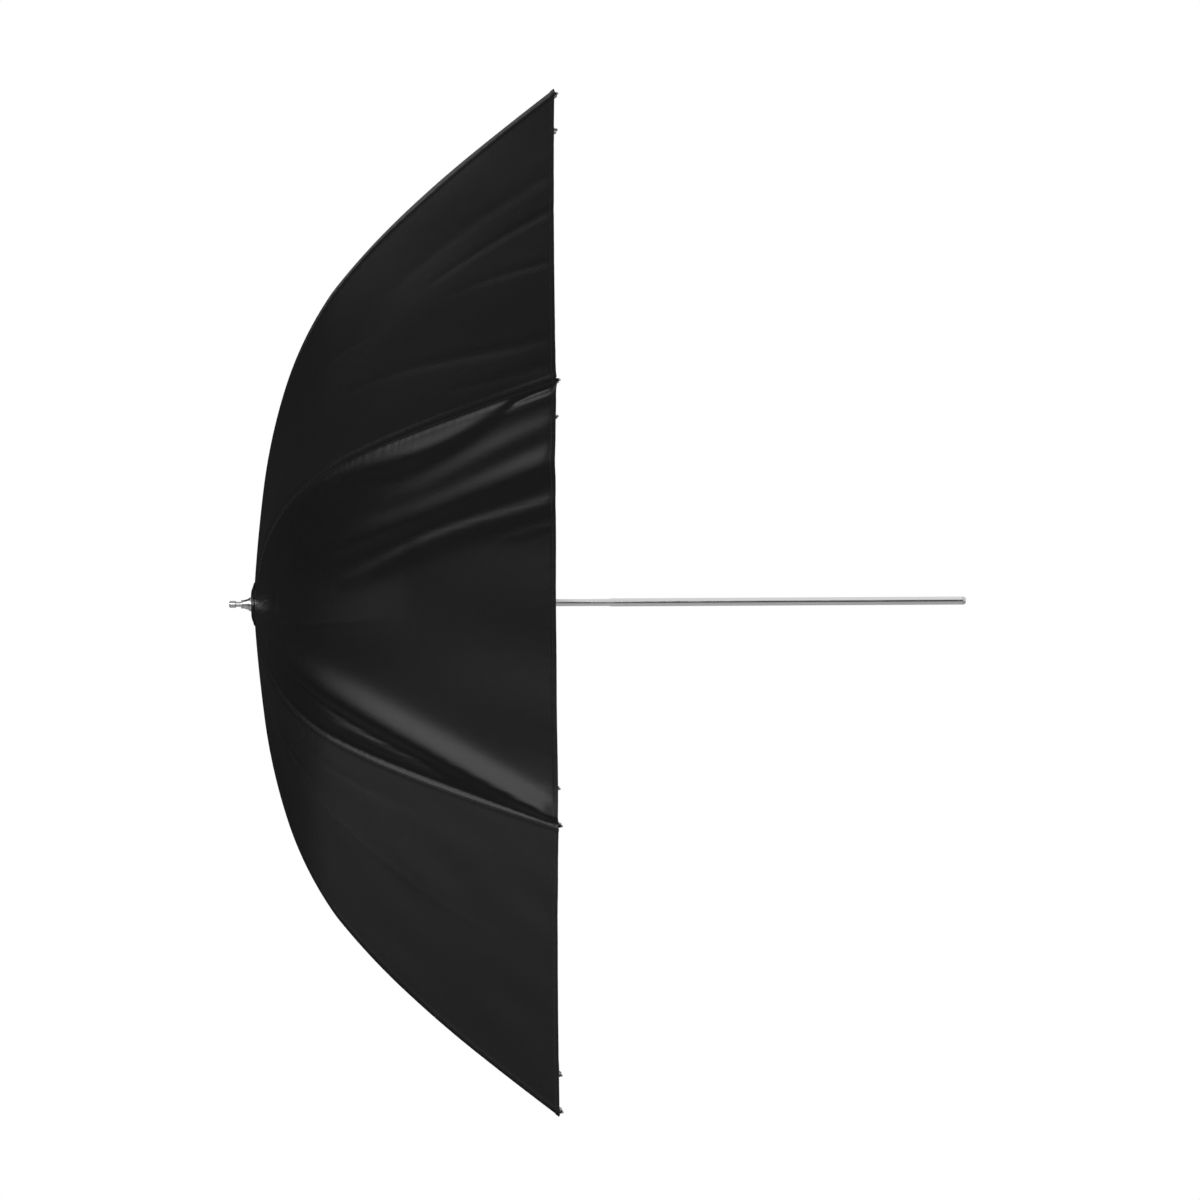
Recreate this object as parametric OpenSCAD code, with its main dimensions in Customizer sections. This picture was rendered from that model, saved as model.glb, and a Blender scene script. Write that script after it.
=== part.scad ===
// Umbrella reflector: an eight-rib umbrella with a lined canopy on a straight metal shaft.
// +X points out of the shaft's free end and the canopy's apex is towards -X.
// The origin is at the free end of the shaft's parallel part. Millimetres.

/* [Ribs] */
// Length along a rib from the crown hinge to the stretcher joint
rib_inner_len = 323.2; // [270:0.1:340]
// Angle to the shaft at which an open rib leaves the crown
rib_start_angle = 85.5; // [82:0.1:87]
// How far that length turns inwards; it bends most at the joint
rib_inner_turn = 29.6; // [20:0.1:32]
// Turn in the joint itself
rib_kink = 3.2; // [0.5:0.1:6]
// Length along a rib from the joint to its tip
rib_outer_len = 290; // [240:1:310]
// How far that length turns inwards; it too bends most at the joint
rib_outer_turn = 14.3; // [8:0.1:18]
// Angle of the tip fitting to the shaft
tip_angle = 38; // [20:1:45]

/* [Shaft] */
// Radius of the shaft's free stretch, which a bracket clamps
shaft_r = 4; // [3.9:0.05:4]
// Length of that free stretch
shaft_free_len = 345; // [300:5:350]
// Radius of the shaft from the crown to the step
shaft_neck_r = 3.5; // [3.4:0.05:3.5]
// Distance from the crown hinges to the shaft's free end
crown_to_end = 688.3; // [680:0.1:720]

/* [Crown and runner] */
// Radius of the circle on which the ribs and stretchers hinge
hinge_r = 12; // [12:0.1:12.5]
// Outer radius of the crown and of the runner's collar
hub_r = 15; // [14.8:0.1:16]
// Length of the runner's tube beyond its collar
runner_tube_len = 35; // [33:0.5:40]

/* [Canopy] */
// Thickness of the canopy's cloth and lining
cloth_t = 0.8; // [0.6:0.1:1]
// Distance from the middle of a rib to the canopy's inner face
cloth_gap = 4.1; // [4:0.1:5]
// Inward sag of the cloth between two ribs, as a share of its radius
panel_sag = 0.03; // [0:0.005:0.05]

/* [Hidden] */
RIBS = 8;
HALF = 180 / RIBS;

$fn = 64;
EPS = 0.01;

// A bent length is a chain of arcs, each [centre, radius, first heading, last heading]
inner_shares = [1, 3, 5] / 9;
outer_shares = [5, 3, 1] / 9;
bend_steps = 8;

// Point of an arc at a heading, a distance off it
function on_arc(arc, heading, off = 0) = arc[0] + (arc[1] + off) * [-sin(heading), cos(heading)];

// Chain of arcs from a point, at a heading, of a total span and turn
function bend(p, heading, span, turn, shares, k = 0) =
    k == len(shares) ? [] :
    let (
        part = turn * shares[k],
        radius = span / len(shares) * 180 / (PI * part),
        arc = [p - radius * [-sin(heading), cos(heading)], radius, heading, heading - part]
    )
    concat([arc], bend(on_arc(arc, arc[3]), arc[3], span, turn, shares, k + 1));
function bend_end(arcs) = on_arc(arcs[len(arcs) - 1], arcs[len(arcs) - 1][3]);

// Hinge points in a rib's own plane, as [x, distance from the shaft]
crown_p = [-crown_to_end, hinge_r];
inner_arcs = bend(crown_p, rib_start_angle, rib_inner_len, rib_inner_turn, inner_shares);
joint_p = bend_end(inner_arcs);
joint_heading = rib_start_angle - rib_inner_turn - rib_kink;
outer_arcs = bend(joint_p, joint_heading, rib_outer_len, rib_outer_turn, outer_shares);
tip_p = bend_end(outer_arcs);

// The stretcher is as long as the rib's inner chord, so both fold flat together
reach = joint_p - crown_p;
stretcher_len = norm(reach);
stretcher_angle = atan2(reach[1], reach[0]);
runner_x = 2 * joint_p[0] - crown_p[0];

// Rib sections
inner_w = 5;
inner_d = 5.6;
inner_wall = 0.7;
outer_w = 3.4;
outer_d = 4.6;
outer_wall = 0.5;
fitting_root = 2.5;
end_block = 6;
tongue_w = 1.8;
tongue_d = 3;
tongue_len = 15;
eye_r = 2.2;
wire_r = 0.6;
eye_hole_r = 1.1;
joint_clear_r = 3;

// Stretcher section
stretcher_w = 3.2;
stretcher_d = 3.6;
fork_tongue_w = 2.2;
fork_tongue_r = 1.4;
fork_tongue_len = 28;
runner_tongue_len = 31;

// Rivets
rivet_r = 0.7;
rivet_run_r = 0.75;
rivet_head_r = 1.4;
rivet_head_t = 0.5;

// Shaft, plug and ferrule
shaft_bore_r = 2.7;
step_x = -shaft_free_len;
crown_face_x = crown_p[0] - 3.3;
crown_len = 10.5;
cap_t = 2.9;
cap_edge_t = 0.8;
cap_r = 21;
cap_back_x = crown_p[0] - cloth_gap - cloth_t - 0.6;
cap_face_x = cap_back_x - cap_t;
plug_len = 4;
ferrule_bore_r = 2;

// Hub slots and wire groove
slot_w = 2.4;
crown_slot_floor = 8.5;
runner_slot_floor = 9.4;
groove_half = 0.65;

// Runner
collar_len = 9;
runner_bore_r = 4.05;
runner_relief_r = 6.7;
runner_tube_r = 8.6;
guide_len = 4;
web_len = 2;
web_x = runner_x + collar_len / 2 + runner_tube_len;

// Catch, its window in the shaft, and the runner's keyway that passes over its head
catch_face_x = web_x + 0.3;
catch_rake = 0.5;
catch_pivot_x = catch_face_x + 25;
catch_pivot_z = -0.8;
catch_w = 2;
catch_top = 6.2;
arm_top = 0.6;
arm_bottom = 2.1;
boss_r = 1.3;
window_w = 2.6;
window_len = 21;
catch_pin_r = 0.6;
catch_run_r = 0.65;
key_w = 3;

// Canopy grid
inner_rows = 4;
outer_rows = 3;
border = 0.3;
across = [-1, -0.6, -0.2, 0, 0.2, 0.6, 1];

// Turns a piece drawn in the XZ plane, with its rib above the shaft, to rib i
module at_rib(i) {
    rotate([90 - HALF - 2 * HALF * i, 0, 0]) children();
}

// A pin or hole across a rib's plane at a point of that plane
module cross_pin(p, r, width) {
    translate([p[0], 0, p[1]])
        rotate([90, 0, 0])
            cylinder(r = r, h = width, center = true);
}

// A ring about the shaft, from one radius to another, starting at x
module ring(x, r_in, r_out, len) {
    translate([x, 0, 0])
        rotate([0, 90, 0])
            difference() {
                cylinder(r = r_out, h = len);
                if (r_in > 0) translate([0, 0, -1]) cylinder(r = r_in, h = len + 2);
            }
}

// A turned piece about the shaft; its outline is a list of [x, radius]
module turned(outline) {
    rotate([0, 90, 0])
        rotate_extrude()
            polygon([for (p = outline) [p[1], p[0]]]);
}

// Points along a chain of arcs, a distance off it, from a length after its start to one past its end
function along(arcs, off, after, past) =
    let (n = len(arcs) - 1)
    [for (k = [0 : n]) for (i = [k == 0 ? 0 : 1 : bend_steps])
        let (
            arc = arcs[k],
            first = arc[2] - (k == 0 ? after : 0) * 180 / (PI * arc[1]),
            last = arc[3] - (k == n ? past : 0) * 180 / (PI * arc[1])
        )
        on_arc(arc, first + (last - first) * i / bend_steps, off)];

// A strip between two distances off a chain of arcs
module strip(arcs, low, high, after, past, width) {
    lower = along(arcs, low, after, past);
    rotate([90, 0, 0])
        linear_extrude(width, center = true)
            polygon(concat(along(arcs, high, after, past),
                [for (i = [len(lower) - 1 : -1 : 0]) lower[i]]));
}

// A channel bent along a chain of arcs, its open side towards the shaft
module channel(arcs, after, width, depth, wall) {
    difference() {
        strip(arcs, -depth / 2, depth / 2, after, 0, width);
        strip(arcs, -depth / 2 - 1, depth / 2 - wall, after - 1, 1, width - 2 * wall);
    }
}

// The two ears that end a channel at the joint
module ears(p, r, width, wall) {
    for (side = [-1, 1])
        translate([p[0], side * (width - wall) / 2, p[1]])
            rotate([90, 0, 0])
                cylinder(r = r, h = wall, center = true);
}

module shaft() {
    color([0.86, 0.87, 0.88])
    difference() {
        union() {
            ring(step_x, 0, shaft_r, shaft_free_len);
            ring(crown_face_x - 1, 0, shaft_neck_r, step_x - crown_face_x + 1 + EPS);
        }
        ring(crown_face_x + 2, 0, shaft_bore_r, crown_to_end + hub_r);
        catch_window();
        cross_pin([catch_pivot_x, catch_pivot_z], catch_pin_r, 3 * shaft_r);
    }
    color([0.86, 0.87, 0.88])
    ring(crown_face_x - 12, 0, ferrule_bore_r, 11);
}

module catch_window() {
    translate([catch_face_x - 1, -window_w / 2, -2 * shaft_r])
        cube([window_len, window_w, 2 * shaft_r]);
}

module shaft_plug() {
    color([0.86, 0.87, 0.88])
    difference() {
        turned([[-12, 0], [-12, shaft_bore_r], [0, shaft_bore_r], [0, shaft_r], [1.2, shaft_r],
            [2.6, 3.6], [3.5, 2.9], [plug_len, 1.9], [plug_len, 0]]);
        ring(plug_len - 1.5, 0, 0.7, 3);
    }
}

module ferrule() {
    face = cap_face_x;
    color([0.8, 0.8, 0.82])
    difference() {
        turned([[face, 0], [face, 7], [face - 1, 7], [face - 3.5, 5.2], [face - 8, 3.9],
            [face - 8.4, 4.2], [face - 9.8, 4.2], [face - 10.2, 2.5], [face - 15, 2.5],
            [face - 15.5, 3.4], [face - 20.6, 3.4], [face - 21.6, 2.6], [face - 21.6, 0]]);
        ring(crown_face_x - 12, 0, ferrule_bore_r, 12);
    }
}

// Cloth rosette between the canopy's apex and the ferrule
module fabric_cap() {
    color([0.07, 0.07, 0.08])
    turned([[cap_face_x, ferrule_bore_r], [cap_face_x, 9], [cap_back_x - cap_edge_t, cap_r],
        [cap_back_x, cap_r], [cap_back_x, ferrule_bore_r]]);
}

// Slots for the ribs or stretchers, and the groove that their wire lies in
module hub_cuts(floor_r, from_x, to_x, wire_x, groove_from) {
    for (i = [0 : RIBS - 1])
        at_rib(i)
            translate([from_x, -slot_w / 2, floor_r])
                cube([to_x - from_x, slot_w, 2 * hub_r]);
    ring(groove_from, hinge_r - groove_half, hinge_r + groove_half,
        wire_x + groove_half - groove_from);
}

module crown() {
    color([0.78, 0.78, 0.8])
    difference() {
        ring(crown_face_x, shaft_neck_r, hub_r, crown_len);
        hub_cuts(crown_slot_floor, crown_p[0] - eye_r - 0.5, crown_face_x + crown_len + 1,
            crown_p[0], crown_face_x - 1);
    }
}

module hinge_wire(x) {
    translate([x, 0, 0])
        rotate([0, 90, 0])
            rotate_extrude(start = 2, angle = 356)
                translate([hinge_r, 0]) circle(r = wire_r, $fn = 24);
}

module crown_wire() {
    color([0.75, 0.75, 0.76]) hinge_wire(crown_p[0]);
}

module runner() {
    collar_x = runner_x - collar_len / 2;
    color([0.09, 0.09, 0.1])
    difference() {
        union() {
            ring(collar_x, 0, hub_r, collar_len);
            ring(collar_x + 1, 0, runner_tube_r, collar_len - 1 + runner_tube_len);
        }
        ring(collar_x - 1, 0, runner_bore_r, collar_len + runner_tube_len + 2);
        ring(collar_x + guide_len, 0, runner_relief_r,
            collar_len + runner_tube_len - guide_len - web_len);
        translate([collar_x - 1, -key_w / 2, -runner_relief_r])
            cube([guide_len + 2, key_w, runner_relief_r]);
        hub_cuts(runner_slot_floor, collar_x - 1, collar_x + collar_len + 1,
            runner_x, collar_x - 1);
    }
}

module runner_wire() {
    color([0.75, 0.75, 0.76]) hinge_wire(runner_x);
}

// Spring catch inside the shaft; its head stands out through the window behind the runner
module catch() {
    nose = [[catch_face_x, -arm_top], [catch_face_x + catch_rake, -catch_top],
        [catch_face_x + 2, -catch_top], [catch_face_x + 14, -arm_bottom],
        [catch_pivot_x, -arm_bottom], [catch_pivot_x, -arm_top]];
    color([0.8, 0.8, 0.82])
    difference() {
        union() {
            rotate([90, 0, 0])
                linear_extrude(catch_w, center = true) polygon(nose);
            cross_pin([catch_pivot_x, catch_pivot_z], boss_r, catch_w);
        }
        cross_pin([catch_pivot_x, catch_pivot_z], catch_run_r, 2 * catch_w);
    }
}

module catch_pin() {
    color([0.75, 0.75, 0.76])
    cross_pin([catch_pivot_x, catch_pivot_z], catch_pin_r, 2 * shaft_neck_r - 0.2);
}

// A flat tongue with an eye, drawn from a point along a heading
module eyed_tongue(p, heading, len) {
    translate([p[0], 0, p[1]])
        rotate([0, -heading, 0])
            difference() {
                union() {
                    rotate([90, 0, 0])
                        cylinder(r = eye_r, h = tongue_w, center = true);
                    translate([0, -tongue_w / 2, -tongue_d / 2])
                        cube([len, tongue_w, tongue_d]);
                }
                rotate([90, 0, 0])
                    cylinder(r = eye_hole_r, h = 2 * tongue_w, center = true);
            }
}

module rib_inner() {
    color([0.72, 0.73, 0.75])
    difference() {
        union() {
            eyed_tongue(crown_p, rib_start_angle, tongue_len + 1);
            translate([crown_p[0], 0, crown_p[1]])
                rotate([0, -rib_start_angle, 0])
                    translate([tongue_len - 2, -inner_w / 2, -inner_d / 2])
                        cube([end_block, inner_w, inner_d]);
            channel(inner_arcs, tongue_len, inner_w, inner_d, inner_wall);
            ears(joint_p, inner_d / 2, inner_w, inner_wall);
        }
        cross_pin(joint_p, joint_clear_r, inner_w - 2 * inner_wall);
        cross_pin(joint_p, rivet_r, 2 * inner_w);
    }
}

module rib_rivet() {
    color([0.8, 0.8, 0.82]) {
        cross_pin(joint_p, rivet_r, inner_w);
        for (side = [-1, 1])
            translate([joint_p[0], side * (inner_w + rivet_head_t) / 2, joint_p[1]])
                rotate([90, 0, 0])
                    cylinder(r = rivet_head_r, h = rivet_head_t, center = true);
    }
}

module rib_outer() {
    color([0.72, 0.73, 0.75])
    difference() {
        union() {
            channel(outer_arcs, 0, outer_w, outer_d, outer_wall);
            ears(joint_p, outer_d / 2, outer_w, outer_wall);
        }
        cross_pin(joint_p, rivet_run_r, 2 * outer_w);
    }
    tip_fitting();
}

// Turned metal end that holds the canopy's corner; its root sits in the rib's channel
module tip_fitting() {
    color([0.88, 0.88, 0.9])
    translate([tip_p[0], 0, tip_p[1]])
        rotate([0, 90 - tip_angle, 0])
            translate([0, 0, -fitting_root])
                rotate_extrude($fn = 32)
                    polygon([[0, 0.6], [1.1, 0.6], [1.4, 1], [1.4, 2.8], [1.05, 3.2], [1.05, 3.8],
                        [1.3, 4.2], [1.3, 4.8], [0.9, 5.3], [0, 5.6]]);
}

module stretcher() {
    full_len = stretcher_len - fork_tongue_len - runner_tongue_len;
    color([0.72, 0.73, 0.75])
    translate([joint_p[0], 0, joint_p[1]])
        rotate([0, stretcher_angle, 0])
            difference() {
                union() {
                    rotate([90, 0, 0])
                        cylinder(r = fork_tongue_r, h = fork_tongue_w, center = true);
                    translate([0, -fork_tongue_w / 2, -fork_tongue_r])
                        cube([fork_tongue_len + 2, fork_tongue_w, 2 * fork_tongue_r]);
                    translate([fork_tongue_len, -stretcher_w / 2, -stretcher_d / 2])
                        cube([full_len, stretcher_w, stretcher_d]);
                    translate([stretcher_len - runner_tongue_len - 2, -tongue_w / 2, -tongue_d / 2])
                        cube([runner_tongue_len + 2, tongue_w, tongue_d]);
                    translate([stretcher_len, 0, 0])
                        rotate([90, 0, 0])
                            cylinder(r = eye_r, h = tongue_w, center = true);
                }
                rotate([90, 0, 0])
                    cylinder(r = rivet_run_r, h = 2 * fork_tongue_w, center = true);
                translate([stretcher_len, 0, 0])
                    rotate([90, 0, 0])
                        cylinder(r = eye_hole_r, h = 2 * tongue_w, center = true);
            }
}

// Point of a cloth face over an arc, at a heading, a distance off the rib, and v across
// The sag points along the middle of the panel, so that two gores meet there
function cloth_point(arc, heading, off, v) =
    let (
        over = on_arc(arc, heading, off),
        edge = over[1] * cos(HALF) * sin(HALF) - border,
        fall = over[1] * panel_sag * (1 - pow(1 - abs(v), 2))
    )
    [
        over[0],
        v * edge - sign(v) * fall * sin(HALF),
        over[1] - abs(v) * edge * tan(HALF) - fall * cos(HALF)
    ];

// Closed cloth solid over a chain of arcs, short of the joint at one end
module gore(arcs, rows, trim_first, trim_last) {
    cols = len(across);
    last = arcs[len(arcs) - 1];
    inside = [for (k = [0 : len(arcs) - 1]) for (i = [k == 0 ? 1 : 0 : rows - 1])
        [arcs[k], arcs[k][2] + (arcs[k][3] - arcs[k][2]) * i / rows]];
    first_at = [arcs[0], arcs[0][2] - asin(trim_first / arcs[0][1])];
    last_at = [last, last[3] + asin(trim_last / last[1])];
    stations = concat([first_at], inside, [last_at]);
    steps = len(stations) - 1;
    layer = (steps + 1) * cols;
    points = [for (off = [cloth_gap + cloth_t, cloth_gap]) for (at = stations) for (v = across)
        cloth_point(at[0], at[1], off, v)];
    quads = [for (i = [0 : steps - 1]) for (j = [0 : cols - 2])
        [i * cols + j, i * cols + j + 1, (i + 1) * cols + j + 1, (i + 1) * cols + j]];
    rim = concat(
        [for (j = [0 : cols - 1]) j],
        [for (i = [1 : steps]) i * cols + cols - 1],
        [for (j = [cols - 2 : -1 : 0]) steps * cols + j],
        [for (i = [steps - 1 : -1 : 1]) i * cols]
    );
    outer_faces = [for (q = quads) each [[q[0], q[3], q[2]], [q[0], q[2], q[1]]]];
    inner_faces = [for (q = quads) each
        [[q[0] + layer, q[2] + layer, q[3] + layer], [q[0] + layer, q[1] + layer, q[2] + layer]]];
    sides = [for (k = [0 : len(rim) - 1])
        let (a = rim[k], b = rim[(k + 1) % len(rim)])
        each [[a, b, b + layer], [a, b + layer, a + layer]]];
    polyhedron(points, concat(outer_faces, inner_faces, sides));
}

module gore_inner() {
    color([0.07, 0.07, 0.08]) gore(inner_arcs, inner_rows, 0, border);
}

module gore_outer() {
    color([0.07, 0.07, 0.08]) gore(outer_arcs, outer_rows, border, 0);
}

shaft();
shaft_plug();
ferrule();
fabric_cap();
crown();
crown_wire();
runner();
runner_wire();
catch();
catch_pin();
for (i = [0 : RIBS - 1]) {
    at_rib(i) rib_inner();
    at_rib(i) rib_rivet();
    at_rib(i) rib_outer();
    at_rib(i) stretcher();
    at_rib(i) gore_inner();
    at_rib(i) gore_outer();
}
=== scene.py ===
import math
import bpy
import mathutils
import numpy as np
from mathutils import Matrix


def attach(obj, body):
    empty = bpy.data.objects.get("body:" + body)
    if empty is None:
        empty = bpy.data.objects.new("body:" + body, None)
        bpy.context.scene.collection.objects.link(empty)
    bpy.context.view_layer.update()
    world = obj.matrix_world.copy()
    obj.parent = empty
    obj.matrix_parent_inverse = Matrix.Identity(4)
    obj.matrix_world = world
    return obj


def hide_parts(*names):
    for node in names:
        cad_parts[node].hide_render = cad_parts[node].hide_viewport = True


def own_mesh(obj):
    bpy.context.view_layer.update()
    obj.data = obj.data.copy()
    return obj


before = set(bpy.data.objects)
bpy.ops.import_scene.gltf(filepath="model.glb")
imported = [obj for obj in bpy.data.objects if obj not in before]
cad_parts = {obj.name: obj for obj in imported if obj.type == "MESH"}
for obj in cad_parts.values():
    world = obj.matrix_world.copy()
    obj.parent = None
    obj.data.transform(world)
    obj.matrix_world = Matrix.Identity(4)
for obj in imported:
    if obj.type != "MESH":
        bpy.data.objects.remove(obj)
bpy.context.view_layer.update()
print("stage: frame loaded")

ribCount = 8
half = math.pi / ribCount


# ---- material helpers
def newMaterial(name, colour, metallic, roughness, specular=0.5):
    material = bpy.data.materials.new(name)
    material.use_nodes = True
    tree = material.node_tree
    shader = tree.nodes["Principled BSDF"]
    shader.inputs["Base Color"].default_value = (*colour, 1)
    shader.inputs["Metallic"].default_value = metallic
    shader.inputs["Roughness"].default_value = roughness
    shader.inputs["Specular IOR Level"].default_value = specular
    return material, tree, shader


def newGroup(name, inputs, outputs):
    tree = bpy.data.node_groups.new(name, "ShaderNodeTree")
    for label, kind, value in inputs:
        socket = tree.interface.new_socket(label, in_out="INPUT", socket_type=kind)
        if value is not None:
            socket.default_value = value
    for label, kind in outputs:
        tree.interface.new_socket(label, in_out="OUTPUT", socket_type=kind)
    return tree, tree.nodes.new("NodeGroupInput"), tree.nodes.new("NodeGroupOutput")


def maths(tree, operation, first, second=None, third=None):
    node = tree.nodes.new("ShaderNodeMath")
    node.operation = operation
    for place, value in enumerate((first, second, third)):
        if value is None:
            continue
        if isinstance(value, (int, float)):
            node.inputs[place].default_value = value
        else:
            tree.links.new(value, node.inputs[place])
    return node.outputs[0]


def noise(tree, vector, scale, detail=2.0, roughness=0.5):
    node = tree.nodes.new("ShaderNodeTexNoise")
    node.inputs["Scale"].default_value = scale
    node.inputs["Detail"].default_value = detail
    node.inputs["Roughness"].default_value = roughness
    tree.links.new(vector, node.inputs["Vector"])
    return node.outputs["Fac"]


def spread(tree, value, low, high):
    node = tree.nodes.new("ShaderNodeMapRange")
    node.inputs["From Min"].default_value = 0.3
    node.inputs["From Max"].default_value = 0.7
    node.inputs["To Min"].default_value = low
    node.inputs["To Max"].default_value = high
    tree.links.new(value, node.inputs["Value"])
    return node.outputs["Result"]


def addGroup(tree, group, vector):
    node = tree.nodes.new("ShaderNodeGroup")
    node.node_tree = group
    tree.links.new(vector, node.inputs["Vector"])
    return node


def objectVector(tree):
    return tree.nodes.new("ShaderNodeTexCoord").outputs["Object"]


def uvVector(tree):
    node = tree.nodes.new("ShaderNodeUVMap")
    node.uv_map = "cut"
    return node.outputs["UV"]


def addBump(tree, shader, height, strength, distance):
    node = tree.nodes.new("ShaderNodeBump")
    node.inputs["Strength"].default_value = strength
    node.inputs["Distance"].default_value = distance
    tree.links.new(height, node.inputs["Height"])
    tree.links.new(node.outputs["Normal"], shader.inputs["Normal"])


def mixColours(tree, factor, first, second):
    node = tree.nodes.new("ShaderNodeMix")
    node.data_type = "RGBA"
    node.inputs["A"].default_value = (*first, 1)
    node.inputs["B"].default_value = (*second, 1)
    tree.links.new(factor, node.inputs["Factor"])
    return node.outputs["Result"]


# ---- shared effects
def weaveGroup():
    tree, start, end = newGroup(
        "weave",
        [("Vector", "NodeSocketVector", None), ("Pitch", "NodeSocketFloat", 0.0006)],
        [("Height", "NodeSocketFloat"), ("Slub", "NodeSocketFloat")],
    )
    parts = tree.nodes.new("ShaderNodeSeparateXYZ")
    tree.links.new(start.outputs["Vector"], parts.inputs["Vector"])
    turns = maths(tree, "DIVIDE", math.pi, start.outputs["Pitch"])
    along = maths(tree, "SINE", maths(tree, "MULTIPLY", parts.outputs["X"], turns))
    across = maths(tree, "SINE", maths(tree, "MULTIPLY", parts.outputs["Y"], turns))
    woven = maths(tree, "MULTIPLY_ADD", maths(tree, "MULTIPLY", along, across), 0.5, 0.5)
    stretch = tree.nodes.new("ShaderNodeVectorMath")
    stretch.operation = "MULTIPLY"
    stretch.inputs[1].default_value = (1, 14, 1)
    tree.links.new(start.outputs["Vector"], stretch.inputs[0])
    tree.links.new(woven, end.inputs["Height"])
    tree.links.new(noise(tree, stretch.outputs["Vector"], 60, 3), end.inputs["Slub"])
    return tree


def stitchGroup():
    tree, start, end = newGroup(
        "stitches",
        [
            ("Vector", "NodeSocketVector", None),
            ("Rim", "NodeSocketFloat", 0.615),
            ("Pitch", "NodeSocketFloat", 0.0028),
            ("Thread", "NodeSocketFloat", 0.0003),
        ],
        [("Mask", "NodeSocketFloat")],
    )
    parts = tree.nodes.new("ShaderNodeSeparateXYZ")
    tree.links.new(start.outputs["Vector"], parts.inputs["Vector"])
    rows = []
    for line, run, inset in (("X", "Y", start.outputs["Rim"]), ("Y", "X", 0.0026)):
        away = maths(tree, "ABSOLUTE", maths(tree, "SUBTRACT", parts.outputs[line], inset))
        near = maths(tree, "LESS_THAN", away, start.outputs["Thread"])
        step = maths(tree, "FRACT", maths(tree, "DIVIDE", parts.outputs[run], start.outputs["Pitch"]))
        rows.append(maths(tree, "MULTIPLY", near, maths(tree, "LESS_THAN", step, 0.66)))
    tree.links.new(maths(tree, "MAXIMUM", rows[0], rows[1]), end.inputs["Mask"])
    return tree


def grainGroup():
    tree, start, end = newGroup(
        "grain",
        [("Vector", "NodeSocketVector", None)],
        [("Fine", "NodeSocketFloat"), ("Broad", "NodeSocketFloat"), ("Drawn", "NodeSocketFloat")],
    )
    stretch = tree.nodes.new("ShaderNodeVectorMath")
    stretch.operation = "MULTIPLY"
    stretch.inputs[1].default_value = (0.02, 1, 1)
    tree.links.new(start.outputs["Vector"], stretch.inputs[0])
    tree.links.new(noise(tree, start.outputs["Vector"], 1800, 3), end.inputs["Fine"])
    tree.links.new(noise(tree, start.outputs["Vector"], 28, 4, 0.6), end.inputs["Broad"])
    tree.links.new(noise(tree, stretch.outputs["Vector"], 3000, 2), end.inputs["Drawn"])
    return tree


weave = weaveGroup()
stitches = stitchGroup()
grain = grainGroup()
print("stage: node groups made")

# ---- cloth materials
clothLook = {
    "black": (0.0042, 0.0042, 0.0045),
    "lighter": (0.007, 0.007, 0.0075),
    "thread": (0.02, 0.02, 0.022),
    "silver": (0.6, 0.61, 0.63),
    "silverDark": (0.5, 0.51, 0.53),
    "stitchInset": 0.004,
}


def clothMaterial(rimLength):
    material, tree, shader = newMaterial("blackCloth", clothLook["black"], 0, 0.4, 0.22)
    uv = uvVector(tree)
    woven = addGroup(tree, weave, uv)
    sewn = addGroup(tree, stitches, uv)
    sewn.inputs["Rim"].default_value = rimLength - clothLook["stitchInset"]
    plain = mixColours(tree, woven.outputs["Slub"], clothLook["black"], clothLook["lighter"])
    colour = tree.nodes.new("ShaderNodeMix")
    colour.data_type = "RGBA"
    colour.inputs["B"].default_value = (*clothLook["thread"], 1)
    tree.links.new(sewn.outputs["Mask"], colour.inputs["Factor"])
    tree.links.new(plain, colour.inputs["A"])
    tree.links.new(colour.outputs["Result"], shader.inputs["Base Color"])
    tree.links.new(spread(tree, woven.outputs["Slub"], 0.36, 0.42), shader.inputs["Roughness"])
    height = maths(tree, "MULTIPLY_ADD", sewn.outputs["Mask"], 3.0, woven.outputs["Height"])
    addBump(tree, shader, height, 0.35, 0.00006)
    return material


def liningMaterial():
    material, tree, shader = newMaterial("silverLining", clothLook["silver"], 0.7, 0.36)
    woven = addGroup(tree, weave, uvVector(tree))
    colour = mixColours(tree, woven.outputs["Slub"], clothLook["silverDark"], clothLook["silver"])
    tree.links.new(colour, shader.inputs["Base Color"])
    addBump(tree, shader, woven.outputs["Height"], 0.3, 0.00006)
    return material


# ---- canopy surface: a rib bends most at its joint, and the cloth lies over eight of them
canopy = {
    "crown": (-0.6883, 0.012),  # crown hinge: along the shaft, distance from it
    "heading": math.radians(85.5),
    "inner": 0.3232,
    "innerTurns": (3.289, 9.867, 16.444),
    "jointTurn": math.radians(3.2),
    "outer": 0.29,
    "outerTurns": (7.944, 4.767, 1.589),
    "offRib": 0.0049,  # outer face above the middle of the rib
    "thick": 0.0008,
    "sag": 0.03,
    "ribRound": 0.006,  # how far the turn at the rib joint is spread at the rib
    "midRound": 0.07,  # and in the middle of a panel
    "row": 0.0036,
    "fineRows": 0.007,  # the rows lie closer together this near to the rim
    "columns": 40,
    "hem": 0.0047,
    "past": 0.002,  # cloth beyond the rib's end
    "scallop": 0.0014,  # the rim is drawn in between two ribs
    "keep": 0.06,
}


def arcChain(point, heading, start, length, turns):
    arcs = []
    x, r = point
    for step, degrees in enumerate(turns):
        turn = math.radians(degrees)
        radius = length / len(turns) / turn
        centre = (x + radius * math.sin(heading), r - radius * math.cos(heading))
        arcs.append((start + step * length / len(turns), heading, radius, *centre))
        heading = heading - turn
        x = centre[0] - radius * math.sin(heading)
        r = centre[1] + radius * math.cos(heading)
    return arcs, (x, r), heading


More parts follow.
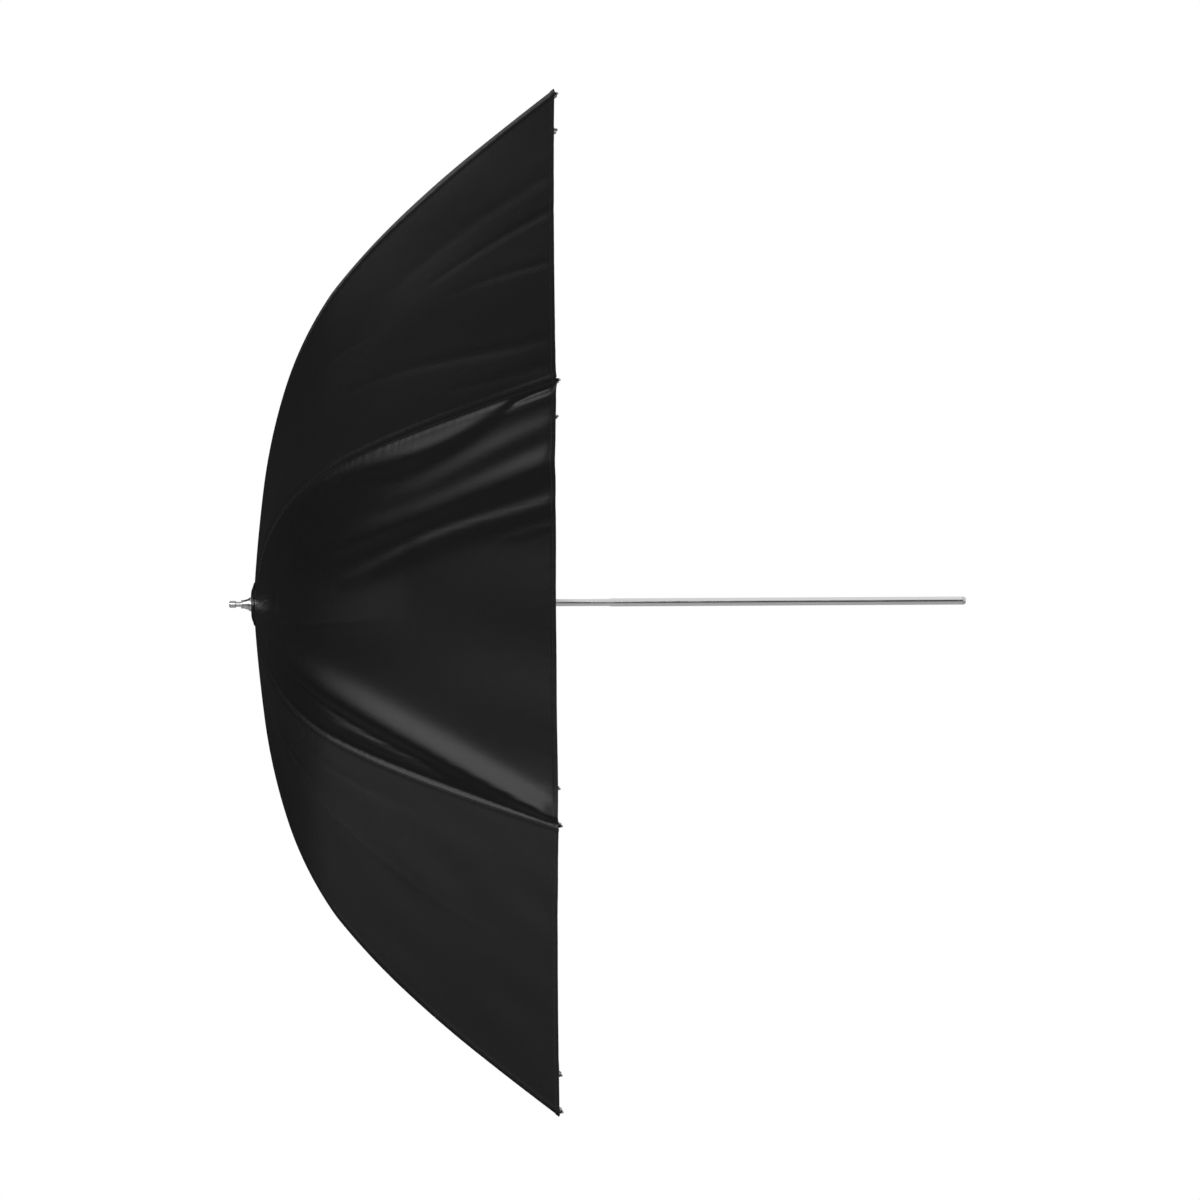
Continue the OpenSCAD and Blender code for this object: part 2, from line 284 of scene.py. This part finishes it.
jointAt = canopy["inner"]
rimAt = canopy["inner"] + canopy["outer"] + canopy["past"]
jointTurn = canopy["jointTurn"]
innerArcs, jointPoint, jointHeading = arcChain(
    canopy["crown"], canopy["heading"], 0, canopy["inner"], canopy["innerTurns"]
)
outerArcs, tipPoint, _ = arcChain(
    jointPoint, jointHeading - jointTurn, jointAt, canopy["outer"], canopy["outerTurns"]
)
arcTable = np.array(innerArcs + outerArcs)


def ribLine(s):
    place = np.searchsorted(arcTable[:, 0], s, side="right") - 1
    start, heading, radius, x, r = arcTable[np.clip(place, 0, len(arcTable) - 1)].T
    s = np.asarray(s).T
    heading = heading - (s - start) / radius
    return (x - radius * np.sin(heading)).T, (r + radius * np.cos(heading)).T, heading.T


def overRib(s, share):
    x, r, heading = ribLine(s)
    away = s - jointAt
    reach = canopy["ribRound"] + (canopy["midRound"] - canopy["ribRound"]) * share
    soft = np.maximum(reach - np.abs(away), 0)
    heading = heading + np.where(away < 0, -1, 1) * jointTurn * soft / (2 * reach)
    off = canopy["offRib"] - jointTurn * soft * soft / (4 * reach)
    return x - off * np.sin(heading), r + off * np.cos(heading), heading


def halfWidth(s):
    return overRib(s, 1.0)[1] * math.sin(half)


def smooth(t):
    t = np.clip(t, 0, 1)
    return t * t * (3 - 2 * t)


axisTable = np.linspace(0.03, rimAt, 600)
axisPlaces = overRib(axisTable, 0.5)[0]


def lengthAt(x):
    return np.interp(x, axisPlaces, axisTable)


# ---- folds in mm: crest as (along the shaft, across the panel), then along it the width
# of the flank above, the width of the flank below, and the height
nearFolds = [
    (
        [(-604, 112), (-569, 125), (-544, 131), (-515, 138), (-492, 148), (-471, 159), (-440, 178)],
        (8, 12, 11, 8), (8, 10, 8, 6), (0.6, 2.6, 3.8, 3.2, 0.8),
    ),
    (
        [(-566, 92), (-525, 104), (-497, 115), (-470, 129), (-444, 140), (-421, 151), (-396, 159)],
        (10, 12, 12), (8, 10, 12), (0.4, 1.5, 2.3, 2.2),
    ),
    (
        [(-620, 46), (-563, 66), (-533, 75), (-505, 87), (-449, 106), (-426, 115), (-396, 127)],
        (12, 18, 18), (8, 10, 11), (0.8, 3.6, 5, 4.8),
    ),
    (
        [(-604, 20), (-541, 45), (-510, 58), (-464, 72), (-418, 84), (-396, 90)],
        (6, 7, 8), (9, 11, 9), (0.6, 1.5, 1.9, 1.9),
    ),
    ([(-455, 56), (-434, 61), (-396, 71)], (4, 5), (4, 5), (0.1, 0.5, 0.6)),
    (
        [(-450, 171), (-441, 177), (-430, 183), (-417, 189), (-404, 193), (-394, 197)],
        (3, 4), (3, 4), (-0.4, -3.2, -4.2),
    ),
    ([(-447, 168), (-426, 176), (-406, 184), (-394, 188)], (3, 4), (4, 5), (0.1, 0.3, 0.3)),
    (
        [(-676, -36), (-638, -62), (-594, -89), (-547, -115), (-500, -142), (-457, -162), (-403, -191)],
        (12, 15, 17, 16, 11), (9, 12, 12, 10, 6), (1.6, 3.2, 4.4, 5, 4),
    ),
    ([(-652, -67), (-602, -100), (-554, -127), (-510, -146)], (5, 6), (4, 4), (-0.4, -1, -0.6)),
    ([(-612, -107), (-586, -118), (-562, -128), (-520, -148)], (4, 4), (5, 5), (0.3, 0.6, 0.3)),
    ([(-664, -20), (-626, -19), (-594, -17), (-540, -15)], (3, 4), (3, 3), (0.2, 0.3, 0)),
    ([(-692, 14), (-640, 20), (-590, 30), (-530, 42)], (36, 44), (34, 42), (-1, -7, -6, -1.5)),
]
topFolds = [
    ([(-530, 38), (-459, 45), (-396, 47)], (6, 7), (4, 6), (0.1, 0.5, 0.9)),
    ([(-505, 12), (-445, -6), (-396, -26)], (6, 6), (4, 5), (0.1, 0.4, 0.7)),
    ([(-600, -30), (-517, -72), (-459, -107), (-396, -136)], (7, 10), (5, 8), (0.2, 0.8, 0.8)),
    ([(-640, 45), (-609, 35), (-570, 24)], (5, 5), (4, 4), (0.1, 0.4, 0.1)),
    ([(-560, 62), (-480, 84), (-396, 96)], (9, 14), (7, 10), (0.1, 0.4, 0.6)),
    ([(-500, -128), (-440, -160), (-396, -178)], (7, 9), (6, 8), (0.2, 0.7, 0.9)),
]
lowFolds = [
    ([(-630, 4), (-563, 0), (-505, -8), (-440, -8)], (5, 8), (5, 8), (-0.2, -0.35, -0.1)),
    ([(-668, 20), (-651, 24), (-620, 30)], (4, 5), (4, 5), (0.3, 0.5, 0.2)),
    ([(-640, 62), (-590, 86), (-520, 112)], (8, 12), (6, 9), (0.3, 0.6, 0.2)),
]


def foldOf(points, up, down, height):
    s = lengthAt(np.array([p[0] for p in points]) / 1000)
    b = np.array([p[1] for p in points]) / 1000
    middle = (s[0] + s[-1]) / 2
    line = np.polyfit(s - middle, b, min(len(points) - 1, 4))
    return {
        "from": s[0],
        "to": s[-1],
        "middle": middle,
        "line": line,
        "slope": np.polyder(line),
        "up": np.array(up) / 1000,
        "down": np.array(down) / 1000,
        "height": np.array(height) / 1000,
    }


def looseFolds(panel):
    rng = np.random.default_rng(40 + panel)
    folds = []
    rimHalf = halfWidth(rimAt)
    for end in (-1, 1):  # creases that fan out from each corner
        for share in (0.86, 0.66, 0.42):
            share = share + rng.uniform(-0.06, 0.06)
            start = rng.uniform(0.12, 0.36)
            across = np.array([share * 0.8, share * 0.93, share * rng.uniform(1.0, 1.08)])
            s = np.array([start, (start + rimAt) / 2, rimAt])
            b = end * across * halfWidth(s)
            b[-1] = end * min(abs(b[-1]), 0.94 * rimHalf)
            line = np.polyfit(s - s[1], b, 2)
            size = rng.choice((-1, 1)) * rng.uniform(0.0008, 0.0024)
            folds.append({
                "from": s[0],
                "to": s[2] + 0.03,
                "middle": s[1],
                "line": line,
                "slope": np.polyder(line),
                "up": np.array((rng.uniform(0.005, 0.008), rng.uniform(0.009, 0.015))),
                "down": np.array((rng.uniform(0.005, 0.008), rng.uniform(0.008, 0.012))),
                "height": size * np.array((0.3, 0.9, 1)),
            })
    return folds


def foldsOf(panel):
    shaped = {7: nearFolds, 0: topFolds, 6: lowFolds}
    if panel in shaped:
        return [foldOf(*fold) for fold in shaped[panel]]
    return looseFolds(panel)


def wavesOf(panel):
    rng = np.random.default_rng(700 + panel)
    waves = []
    for turn in range(6):
        length = rng.uniform(0.07, 0.19)
        angle = rng.uniform(-0.9, 0.9)
        size = rng.uniform(0.0001, 0.00022)
        waves.append((math.cos(angle) / length, math.sin(angle) / length, rng.uniform(0, 1), size))
    return waves


panelFolds = [foldsOf(panel) for panel in range(ribCount)]
panelWaves = [wavesOf(panel) for panel in range(ribCount)]
ribPhases = np.random.default_rng(9).uniform(0, 6.28, (ribCount, 3))


def panelLift(panel, s, b):
    total = 0
    for along, across, phase, size in panelWaves[panel]:
        total = total + size * np.sin(2 * math.pi * (b * along + s * across + phase))
    for fold in panelFolds[panel]:
        run = np.clip((s - fold["from"]) / (fold["to"] - fold["from"]), 0, 1)
        place = s - fold["middle"]
        slope = np.polyval(fold["slope"], place)
        away = (b - np.polyval(fold["line"], place)) / np.sqrt(1 + slope * slope)
        width = np.where(away > 0, alongFold(fold["up"], run), alongFold(fold["down"], run))
        ends = smooth((s - fold["from"]) / 0.03 + 0.3) * smooth((fold["to"] - s) / 0.03 + 0.6)
        total = total + alongFold(fold["height"], run) * ends * np.exp(-((away / width) ** 2))
    return total


def alongFold(values, run):
    return np.interp(run, np.linspace(0, 1, len(values)), values)


seam = {
    "ridge": 0.00044,
    "wide": 0.0012,
    "groove": 0.0007,
    "grooveAt": 0.004,
    "grooveWide": 0.003,
    "pucker": 0.0002,
    "puckerTurns": 571,
    "puckerDrift": 83,
    "puckerReach": 0.008,
    "from": 0.02,  # groove and puckers begin here and are full after "rise"
    "rise": 0.08,
    "held": 0.0045,  # the folds die out this near to the seam
    "fullWidth": 0.03,  # and are smaller where half a panel is narrower than this
    "hemHold": 0.6,
    "hemReach": 0.007,
    "hemFold": 0.0005,
    "turnOver": 0.0085,  # the cloth turns over the rib within this distance
}


def clothLift(rib, side, s, c, wide):
    panel = rib if side > 0 else (rib - 1) % ribCount
    edge = rimAt - s
    free = (1 - np.exp(-((c / seam["held"]) ** 2))) * np.minimum(1, wide / seam["fullWidth"])
    free = free * (1 - seam["hemHold"] * np.exp(-((edge / seam["hemReach"]) ** 2)))
    lift = free * panelLift(panel, s, side * (c - wide))
    lift = lift + seam["ridge"] * np.exp(-((c / seam["wide"]) ** 2))
    begun = smooth((s - seam["from"]) / seam["rise"])
    groove = np.exp(-(((c - seam["grooveAt"]) / seam["grooveWide"]) ** 2))
    lift = lift - begun * seam["groove"] * groove
    one, two, three = ribPhases[rib]
    drift = 2.2 * np.sin(s * seam["puckerDrift"] + two)
    beat = np.sin(s * seam["puckerTurns"] + one + drift + side * three)
    fade = (1 - np.exp(-((c / 0.0025) ** 2))) * np.exp(-c / seam["puckerReach"])
    lift = lift + begun * seam["pucker"] * beat * fade
    lift = lift + seam["hemFold"] * smooth((canopy["hem"] + seam["hemFold"] - edge) / 0.001)
    ripple = np.sin(c * 420 + one) * np.sin(c * 133 + two)
    return lift + 0.00015 * ripple * np.exp(-edge / 0.009) * free


def clothPoint(rib, side, s, c, depth):
    wide = halfWidth(s)
    share = np.clip(c / wide, 0, 1.03)
    x, r, heading = overRib(s - canopy["scallop"] * share * (2 - share) * (s / rimAt) ** 4, share)
    lift = clothLift(rib, side, s, c, wide) - depth
    sag = canopy["sag"] * r * (1 - (1 - share) ** 2)
    tilt = half * smooth(c / np.minimum(seam["turnOver"], wide))
    px = x - lift * np.sin(heading)
    py = c * math.cos(half) - sag * math.sin(half) + lift * np.cos(heading) * np.sin(tilt)
    pz = r - c * math.sin(half) - sag * math.cos(half) + lift * np.cos(heading) * np.cos(tilt)
    turn = math.pi / 2 - half - 2 * half * rib
    across = side * py
    turned = (across * math.cos(turn) - pz * math.sin(turn), across * math.sin(turn) + pz * math.cos(turn))
    return np.stack((px, *turned), axis=-1)


def clothNormal(rib, side, s, c, depth):
    step = 0.0004
    alongRib = clothPoint(rib, side, s + step, c, depth) - clothPoint(rib, side, s - step, c, depth)
    low = np.maximum(c - step, 0)
    acrossRib = clothPoint(rib, side, s, c + step, depth) - clothPoint(rib, side, s, low, depth)
    normal = np.cross(acrossRib, alongRib) * side
    return normal / np.linalg.norm(normal, axis=-1, keepdims=True)


def meshOf(name, points, faces):
    mesh = bpy.data.meshes.new(name)
    mesh.from_pydata(points.reshape(-1, 3).tolist(), [], faces)
    obj = bpy.data.objects.new(name, mesh)
    bpy.context.scene.collection.objects.link(obj)
    return obj


def stackFaces(rows, columns, layer, flip):
    quads = []
    lining = []
    for i in range(rows - 1):
        for j in range(columns - 1):
            a = i * columns + j
            quads.append((a, a + 1, a + columns + 1, a + columns))
            lining.append((a + layer, a + columns + layer, a + columns + 1 + layer, a + 1 + layer))
    rim = list(range(columns))
    rim += [i * columns + columns - 1 for i in range(1, rows)]
    rim += [rows * columns - 1 - j for j in range(1, columns)]
    rim += [i * columns for i in range(rows - 2, 0, -1)]
    walls = [(b, a, a + layer, b + layer) for a, b in zip(rim, rim[1:] + rim[:1])]
    faces = quads + lining + walls
    return [face[::-1] for face in faces] if flip else faces


def clothSheet(name, rib, side, rows):
    near = np.array([0, 0.0008, 0.0016, 0.0025, 0.0036, 0.005, 0.007, 0.01])
    wide = halfWidth(rows)
    narrow = np.minimum(1, wide / 0.03)[:, None] * near[None, :]
    count = canopy["columns"]
    rest = narrow[:, -1:] + (wide[:, None] - narrow[:, -1:]) * np.arange(1, count + 1)[None, :] / count
    c = np.concatenate((narrow, rest), axis=1)
    s = np.repeat(rows[:, None], c.shape[1], axis=1)
    outer = clothPoint(rib, side, s, c, 0)
    inner = clothPoint(rib, side, s, c, canopy["thick"])
    layer = s.size
    faces = stackFaces(len(rows), c.shape[1], layer, side < 0)
    obj = meshOf(name, np.concatenate((outer, inner)), faces)
    mesh = obj.data
    mesh.materials.append(blackCloth)
    mesh.materials.append(silverLining)
    cells = (len(rows) - 1) * (c.shape[1] - 1)
    inHem = np.repeat(rimAt - rows[1:] < canopy["hem"], c.shape[1] - 1)
    index = np.zeros(len(faces), np.int32)
    index[cells:2 * cells] = np.where(inHem, 0, 1)
    mesh.polygons.foreach_set("material_index", index)
    mesh.polygons.foreach_set("use_smooth", np.ones(len(faces), bool))
    normal = clothNormal(rib, side, s, c, 0).reshape(-1, 3)
    cut = np.stack((s.ravel(), c.ravel()), axis=-1)
    cut = np.concatenate((cut, cut))
    loops = np.zeros(len(mesh.loops), np.int32)
    mesh.loops.foreach_get("vertex_index", loops)
    layerUv = mesh.uv_layers.new(name="cut")
    layerUv.data.foreach_set("uv", cut[loops].ravel())
    mesh.update()
    mesh.normals_split_custom_set_from_vertices(np.concatenate((normal, -normal)).tolist())
    return obj


def rowsBetween(start, end, hemmed):
    stop = end - canopy["fineRows"] if hemmed else end
    rows = np.linspace(start, stop, int(round((stop - start) / canopy["row"])) + 1)
    if hemmed:
        rows = np.concatenate((rows, np.linspace(stop, end, 11)[1:]))
    return rows


def clothArea(rows):
    wide = halfWidth(rows)
    return float(np.sum((wide[1:] + wide[:-1]) / 2 * np.diff(rows)))


blackCloth = clothMaterial(rimAt)
silverLining = liningMaterial()
lengths = (
    ("inner", rowsBetween(0, jointAt, False)),
    ("outer", rowsBetween(jointAt, rimAt, True)),
)
for rib in range(ribCount):
    turn = math.pi / 2 - half - 2 * half * rib
    for zone, rows in lengths:
        for side, word in ((1, "Up"), (-1, "Down")):
            sheet = clothSheet(f"cloth{zone.capitalize()}{word}{rib}", rib, side, rows)
            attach(sheet, f"rib_{zone}_{rib}")
            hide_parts(f"gore_{zone}_{rib}")
            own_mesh(sheet)
print("stage: canopy sewn, flat pieces of", [
    (round(float(halfWidth(rows[-1])), 4), round(float(rows[-1] - rows[0]), 4), round(clothArea(rows), 5))
    for zone, rows in lengths
])


# ---- rosette: a round of gathered cloth between the canopy and the ferrule
rosette = {
    "hole": 0.00205,
    "radius": 0.021,
    "face": -0.6967,
    "thick": 0.0006,
    "flatTo": 0.008,  # beyond this radius it falls back to the canopy
    "fall": 0.0033,
    "pleats": 14,
    "pleatsFrom": 0.0072,
    "rings": 18,
    "steps": 224,
}


def rosettePoint(r, turn, depth):
    out = (r - rosette["hole"]) / (rosette["radius"] - rosette["hole"])
    free = smooth((r - rosette["pleatsFrom"]) / 0.006)
    gather = np.sin(rosette["pleats"] * turn + 0.9 * np.sin(3 * turn))
    lift = free * (0.00035 * gather * (1.2 - 0.5 * out) - 0.0003 * np.sin(2 * turn + 1))
    stitched = 0.0003 * np.exp(-(((r - 0.0178) / 0.0007) ** 2))
    edge = r * (1 + 0.018 * out * np.sin(rosette["pleats"] * 2 * turn))
    beyond = np.clip((r - rosette["flatTo"]) / (rosette["radius"] - rosette["flatTo"]), 0, 1)
    x = rosette["face"] + rosette["fall"] * beyond ** 1.5 - lift + stitched + depth
    return np.stack((x, edge * np.cos(turn), edge * np.sin(turn)), axis=-1)


def rosetteSheet():
    rings = np.linspace(rosette["hole"], rosette["radius"], rosette["rings"])
    turns = np.linspace(0, 2 * math.pi, rosette["steps"], endpoint=False)
    r, turn = np.meshgrid(rings, turns, indexing="ij")
    points = np.concatenate((rosettePoint(r, turn, 0), rosettePoint(r, turn, rosette["thick"])))
    count = rosette["steps"]
    layer = r.size
    faces = []
    for i in range(rosette["rings"] - 1):
        for j in range(count):
            a = i * count + j
            b = i * count + (j + 1) % count
            faces.append((a, a + count, b + count, b))
            faces.append((a + layer, b + layer, b + count + layer, a + count + layer))
    for j in range(count):
        b = (j + 1) % count
        faces.append((j, b, b + layer, j + layer))
        a = layer - count + j
        b = layer - count + b
        faces.append((b, a, a + layer, b + layer))
    obj = meshOf("rosette", points, faces)
    mesh = obj.data
    mesh.materials.append(blackCloth)
    mesh.polygons.foreach_set("use_smooth", np.ones(len(faces), bool))
    cut = np.stack((r.ravel() * np.cos(turn.ravel()), r.ravel() * np.sin(turn.ravel())), axis=-1) + 0.1
    cut = np.concatenate((cut, cut))
    loops = np.zeros(len(mesh.loops), np.int32)
    mesh.loops.foreach_get("vertex_index", loops)
    mesh.uv_layers.new(name="cut").data.foreach_set("uv", cut[loops].ravel())
    mesh.update()
    return obj


rosetteCloth = rosetteSheet()
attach(rosetteCloth, "root")
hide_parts("fabric_cap")
print("stage: rosette sewn")


# ---- corner pockets: the cloth sleeve that slips over each rib's end
pocket = {
    "length": 0.0056,
    "ribEnd": 0.0027,
    "pinEnd": 0.0019,
    "flat": 0.82,
    "lift": 0.0008,
    "roll": 0.0005,
    "back": 0.0048,
    "angle": math.radians(38),
    "sides": 20,
}


def pocketCloth():
    material, tree, shader = newMaterial("pocketCloth", clothLook["black"], 0, 0.5, 0.22)
    grained = addGroup(tree, grain, objectVector(tree))
    colour = mixColours(tree, grained.outputs["Fine"], clothLook["black"], clothLook["lighter"])
    tree.links.new(colour, shader.inputs["Base Color"])
    addBump(tree, shader, grained.outputs["Fine"], 0.4, 0.0002)
    return material


pocketLook = pocketCloth()


def makePocket(name):
    bpy.ops.object.select_all(action="DESELECT")
    bpy.ops.mesh.primitive_cone_add(
        vertices=pocket["sides"],
        radius1=pocket["ribEnd"],
        radius2=pocket["pinEnd"],
        depth=pocket["length"],
        location=(0, 0, 0),
    )
    obj = bpy.context.object
    obj.name = name
    bpy.ops.object.mode_set(mode="EDIT")
    bpy.ops.mesh.select_all(action="SELECT")
    bpy.ops.transform.resize(value=(1, pocket["flat"], 1))
    bpy.ops.mesh.subdivide(number_cuts=2)
    bpy.ops.mesh.select_all(action="DESELECT")
    bpy.ops.object.mode_set(mode="OBJECT")
    bevel = obj.modifiers.new("hemRoll", "BEVEL")
    bevel.width = pocket["roll"]
    bevel.segments = 3
    bevel.limit_method = "ANGLE"
    bpy.ops.object.modifier_apply(modifier="hemRoll")
    bpy.ops.object.shade_smooth_by_angle(angle=math.radians(50))
    obj.data.materials.append(pocketLook)
    return obj


def placeAt(obj, turnY, along, turnX):
    bpy.ops.object.select_all(action="DESELECT")
    obj.select_set(True)
    bpy.context.view_layer.objects.active = obj
    obj.rotation_euler = (0, turnY, 0)
    obj.location = along
    bpy.ops.object.transform_apply(location=True, rotation=True, scale=True)
    obj.rotation_euler = (turnX, 0, 0)
    bpy.ops.object.transform_apply(location=True, rotation=True, scale=True)


pocketMid = (
    tipPoint[0] - (pocket["back"] - pocket["length"] / 2) * math.cos(pocket["angle"]),
    tipPoint[1] - (pocket["back"] - pocket["length"] / 2) * math.sin(pocket["angle"]) + pocket["lift"],
)
for rib in range(ribCount):
    sleeve = makePocket(f"cornerPocket{rib}")
    turn = math.pi / 2 - half - 2 * half * rib
    placeAt(sleeve, math.pi / 2 - pocket["angle"], (pocketMid[0], 0, pocketMid[1]), turn)
    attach(sleeve, f"rib_outer_{rib}")
print("stage: corner pockets made")


# ---- metal and plastic looks for the carried-over pieces
metalLooks = {
    "shaft": ((0.92, 0.92, 0.93), 1, 0.16, (0.13, 0.2), "Broad", 0.004),
    "shaft_plug": ((0.74, 0.75, 0.77), 1, 0.22, (0.18, 0.3), "Broad", 0.01),
    "ferrule": ((0.76, 0.76, 0.78), 1, 0.24, (0.2, 0.3), "Broad", 0.01),
    "crown": ((0.55, 0.55, 0.57), 1, 0.42, (0.36, 0.5), "Fine", 0.12),
    "crown_wire": ((0.58, 0.58, 0.6), 1, 0.28, (0.24, 0.36), "Fine", 0.05),
    "runner": ((0.012, 0.012, 0.013), 0, 0.42, (0.36, 0.48), "Fine", 0.1),
    "runner_wire": ((0.58, 0.58, 0.6), 1, 0.28, (0.24, 0.36), "Fine", 0.05),
    "catch": ((0.5, 0.51, 0.55), 1, 0.3, (0.25, 0.36), "Drawn", 0.05),
    "catch_pin": ((0.62, 0.62, 0.64), 1, 0.25, (0.2, 0.3), "Fine", 0.04),
    "rib": ((0.56, 0.57, 0.59), 1, 0.3, (0.26, 0.4), "Fine", 0.05),
    "rivet": ((0.62, 0.62, 0.64), 1, 0.24, (0.2, 0.3), "Fine", 0.03),
}


def hardMaterial(name, look):
    colour, metallic, roughness, rough, source, bump = look
    material, tree, shader = newMaterial(name, colour, metallic, roughness)
    grained = addGroup(tree, grain, objectVector(tree))
    dark = tuple(0.88 * part for part in colour)
    tree.links.new(mixColours(tree, grained.outputs["Broad"], dark, colour), shader.inputs["Base Color"])
    tree.links.new(spread(tree, grained.outputs[source], *rough), shader.inputs["Roughness"])
    addBump(tree, shader, grained.outputs[source], bump, 0.0003)
    return material


hardLooks = {name: hardMaterial(f"{name}Look", look) for name, look in metalLooks.items()}


def lookFor(node):
    if node in hardLooks:
        return hardLooks[node]
    return hardLooks["rivet" if node.startswith("rib_rivet") else "rib"]


for name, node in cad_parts.items():
    if name.startswith("gore") or name == "fabric_cap":
        look = blackCloth
    else:
        look = lookFor(name)
    node.data.materials.clear()
    node.data.materials.append(look)
print("stage: carried-over pieces finished")


# ---- studio
studio = {
    "floor": -1.3,
    "glow": (0.78, 0.78, 0.78),  # white walls behind, above and on the shaft's side
    "spread": 100,  # degrees: the light box has a grid
    "gloom": (0.03, 0.03, 0.031),  # the dark room in front and beyond the crown
}


def stageFloor():
    bpy.ops.object.select_all(action="DESELECT")
    bpy.ops.mesh.primitive_plane_add(size=1, location=(-0.3, -0.9, studio["floor"]))
    floor = bpy.context.object
    floor.name = "floor"
    floor.scale = (9, 6.6, 1)
    bpy.ops.object.transform_apply(location=True, rotation=True, scale=True)
    material, tree, shader = newMaterial("floorPaper", (0.55, 0.55, 0.55), 0, 0.8)
    floor.data.materials.append(material)


def stageLight(name, location, target, size, power):
    data = bpy.data.lights.new(name, "AREA")
    data.shape = "RECTANGLE"
    data.size, data.size_y = size
    data.energy = power
    light = bpy.data.objects.new(name, data)
    bpy.context.scene.collection.objects.link(light)
    data.spread = math.radians(studio["spread"])
    light.location = location
    aim = [b - a for a, b in zip(location, target)]
    light.rotation_euler = mathutils.Vector(aim).to_track_quat("-Z", "Y").to_euler()


def stageWorld():
    world = bpy.data.worlds.new("studioWorld")
    bpy.context.scene.world = world
    world.use_nodes = True
    tree = world.node_tree
    tree.nodes.clear()
    way = tree.nodes.new("ShaderNodeSeparateXYZ")
    tree.links.new(tree.nodes.new("ShaderNodeTexCoord").outputs["Generated"], way.inputs["Vector"])
    walls = []
    for axis, low, high in (("X", -0.12, 0), ("Y", -0.98, -0.8)):
        climb = tree.nodes.new("ShaderNodeMapRange")
        climb.interpolation_type = "SMOOTHSTEP"
        climb.inputs["From Min"].default_value = low
        climb.inputs["From Max"].default_value = high
        tree.links.new(way.outputs[axis], climb.inputs["Value"])
        walls.append(climb.outputs["Result"])
    lit = maths(tree, "MULTIPLY", *walls)
    dim = tree.nodes.new("ShaderNodeBackground")
    tree.links.new(mixColours(tree, lit, studio["gloom"], studio["glow"]), dim.inputs["Color"])
    white = tree.nodes.new("ShaderNodeBackground")
    white.inputs["Color"].default_value = (1, 1, 1, 1)
    choose = tree.nodes.new("ShaderNodeMixShader")
    tree.links.new(tree.nodes.new("ShaderNodeLightPath").outputs["Is Camera Ray"], choose.inputs[0])
    tree.links.new(dim.outputs["Background"], choose.inputs[1])
    tree.links.new(white.outputs["Background"], choose.inputs[2])
    tree.links.new(choose.outputs["Shader"], tree.nodes.new("ShaderNodeOutputWorld").inputs["Surface"])


viewer = {
    "place": (-0.405, -5.36, 0.0022),
    "aim": (-0.355, 0, 0.0024),
    "lens": 164,
    "roll": math.radians(-0.3),
}


def aimCamera():
    data = bpy.data.cameras.new("viewer")
    data.lens = viewer["lens"]
    data.sensor_width = 36
    data.clip_end = 50
    camera = bpy.data.objects.new("viewer", data)
    bpy.context.scene.collection.objects.link(camera)
    camera.location = viewer["place"]
    aim = mathutils.Vector(viewer["aim"]) - camera.location
    roll = mathutils.Quaternion((0, 0, 1), viewer["roll"])
    camera.rotation_euler = (aim.to_track_quat("-Z", "Y") @ roll).to_euler()
    bpy.context.scene.camera = camera


stageFloor()
stageLight("sideBox", (-2.5, -1.0, 1.3), (-0.5, 0, 0), (2.2, 1.5), 17.5)
stageLight("frontBox", (-1.5, -4.1, 1.2), (-0.5, 0, 0), (2, 2), 13)
stageWorld()
aimCamera()
bpy.context.scene.view_settings.view_transform = "Standard"
print("stage: studio set")
